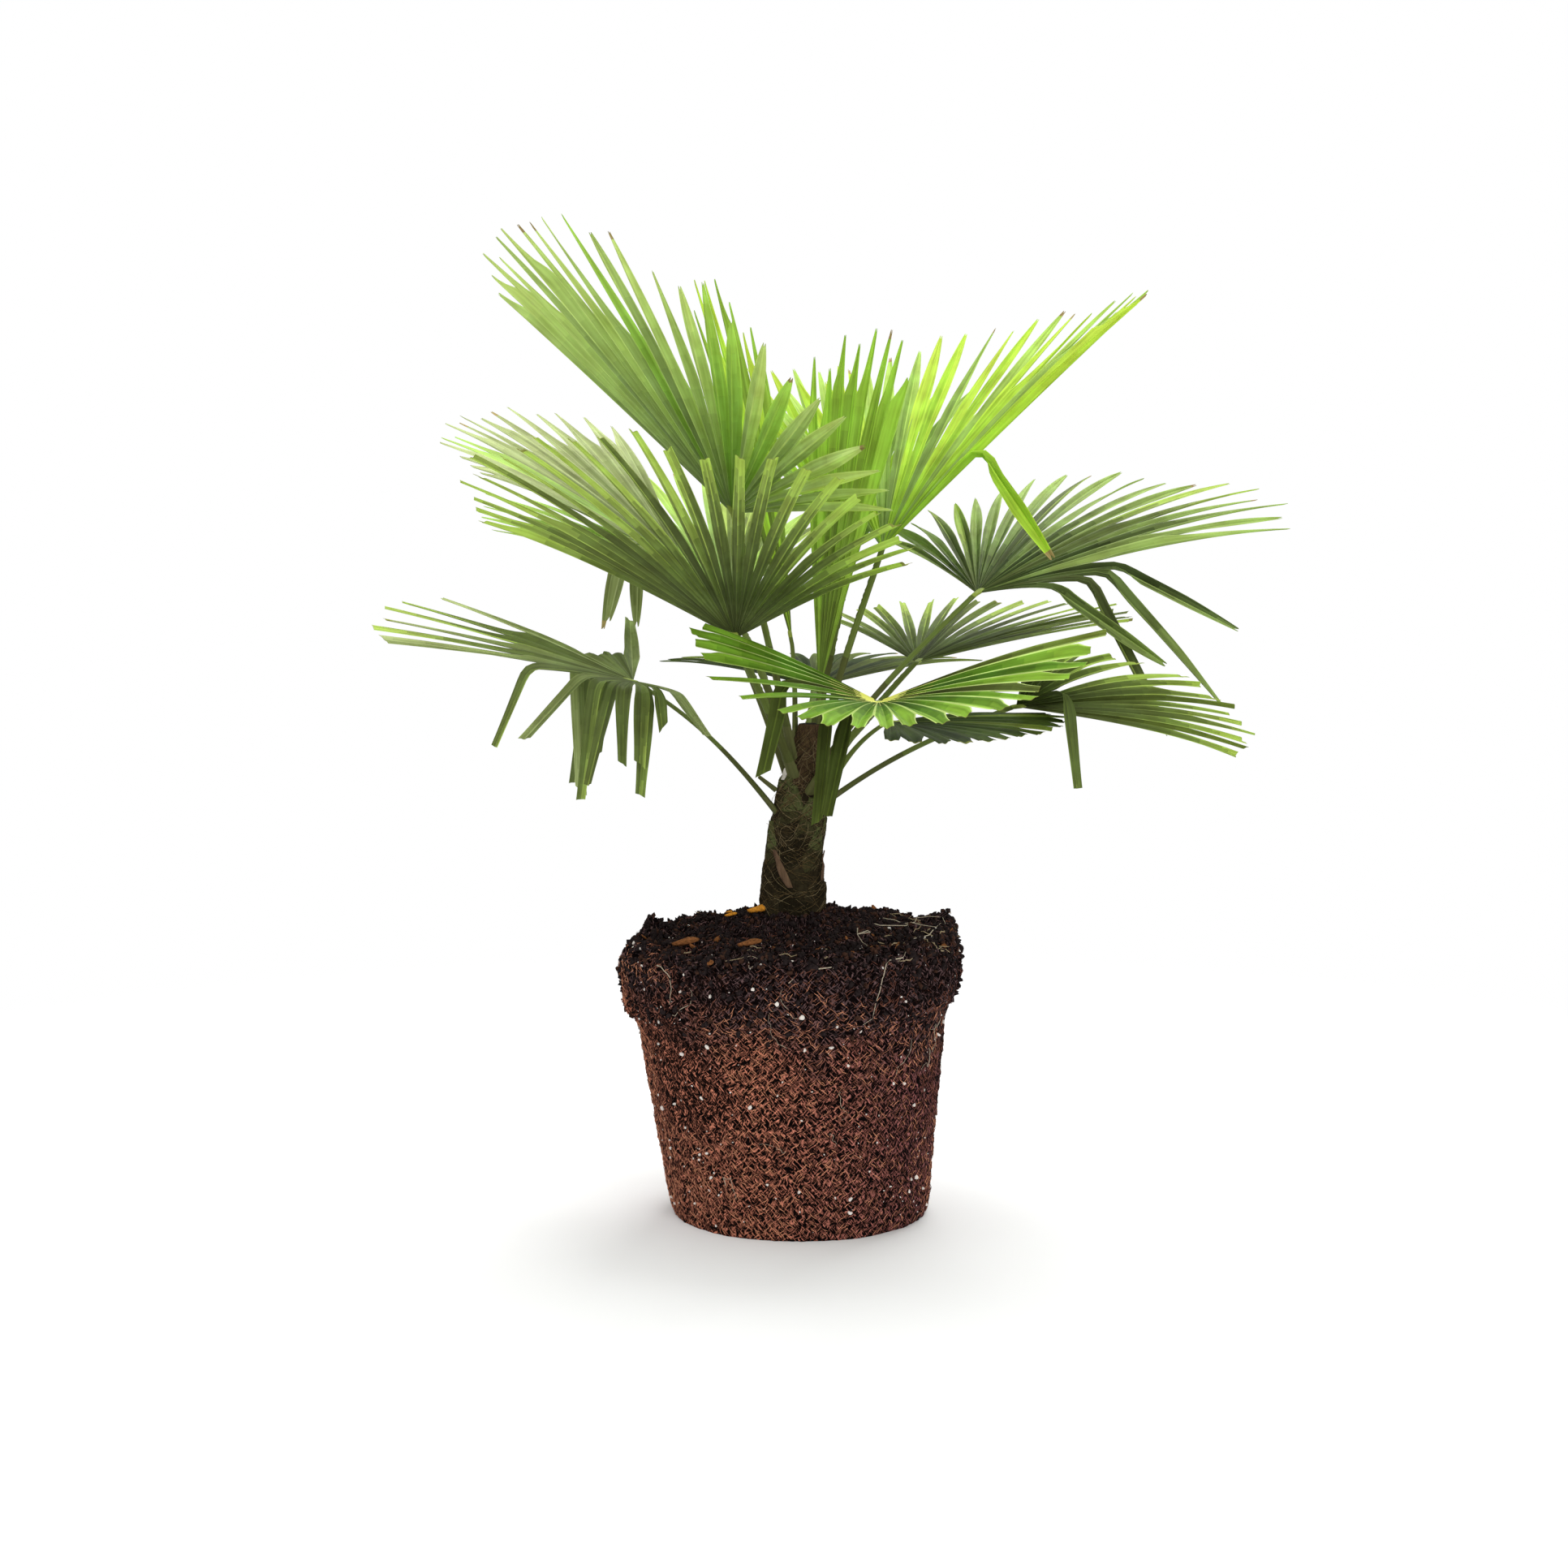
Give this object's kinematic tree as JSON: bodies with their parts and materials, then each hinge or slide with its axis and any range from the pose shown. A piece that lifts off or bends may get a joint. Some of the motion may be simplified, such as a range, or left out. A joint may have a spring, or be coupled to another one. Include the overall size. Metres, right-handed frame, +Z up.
{
  "type": "palm plant",
  "caption": "Young fan palm with a short fibrous trunk, spreading stalked fans of slit leaflets and a soil root ball still moulded to its nursery pot.",
  "frame": {"origin": "centre of the root ball's flat underside, on the ground", "axes": "+Z up, +Y away from the picture's camera, +X to the picture's right"},
  "size_m": [0.7515, 0.7318, 0.7874],
  "materials": {
    "soil": "dark brown moist potting mix with pale specks",
    "trunk_fibre": "matt brown fibre",
    "stalk": "satin olive green",
    "leaf": "satin green"
  },
  "bodies": {
    "root": {"root_ball": "soil", "trunk": "trunk_fibre", "stalk_low_left": "stalk", "stalk_low_right": "stalk", "stalk_low_front": "stalk", "stalk_low_back": "stalk", "stalk_back_right": "stalk", "stalk_right": "stalk", "stalk_left": "stalk", "stalk_back_left": "stalk", "stalk_front_left": "stalk", "stalk_front_right": "stalk", "stalk_upper_left": "stalk", "stalk_upper_right": "stalk", "stalk_upper_back": "stalk", "stalk_young_left": "stalk", "stalk_young_right": "stalk", "blade_low_left": "leaf", "blade_low_right": "leaf", "blade_low_front": "leaf", "blade_low_back": "leaf", "blade_back_right": "leaf", "blade_right": "leaf", "blade_left": "leaf", "blade_back_left": "leaf", "blade_front_left": "leaf", "blade_front_right": "leaf", "blade_upper_left": "leaf", "blade_upper_right": "leaf", "blade_upper_back": "leaf", "blade_young_left": "leaf", "blade_young_right": "leaf"}
  },
  "joints": []
}
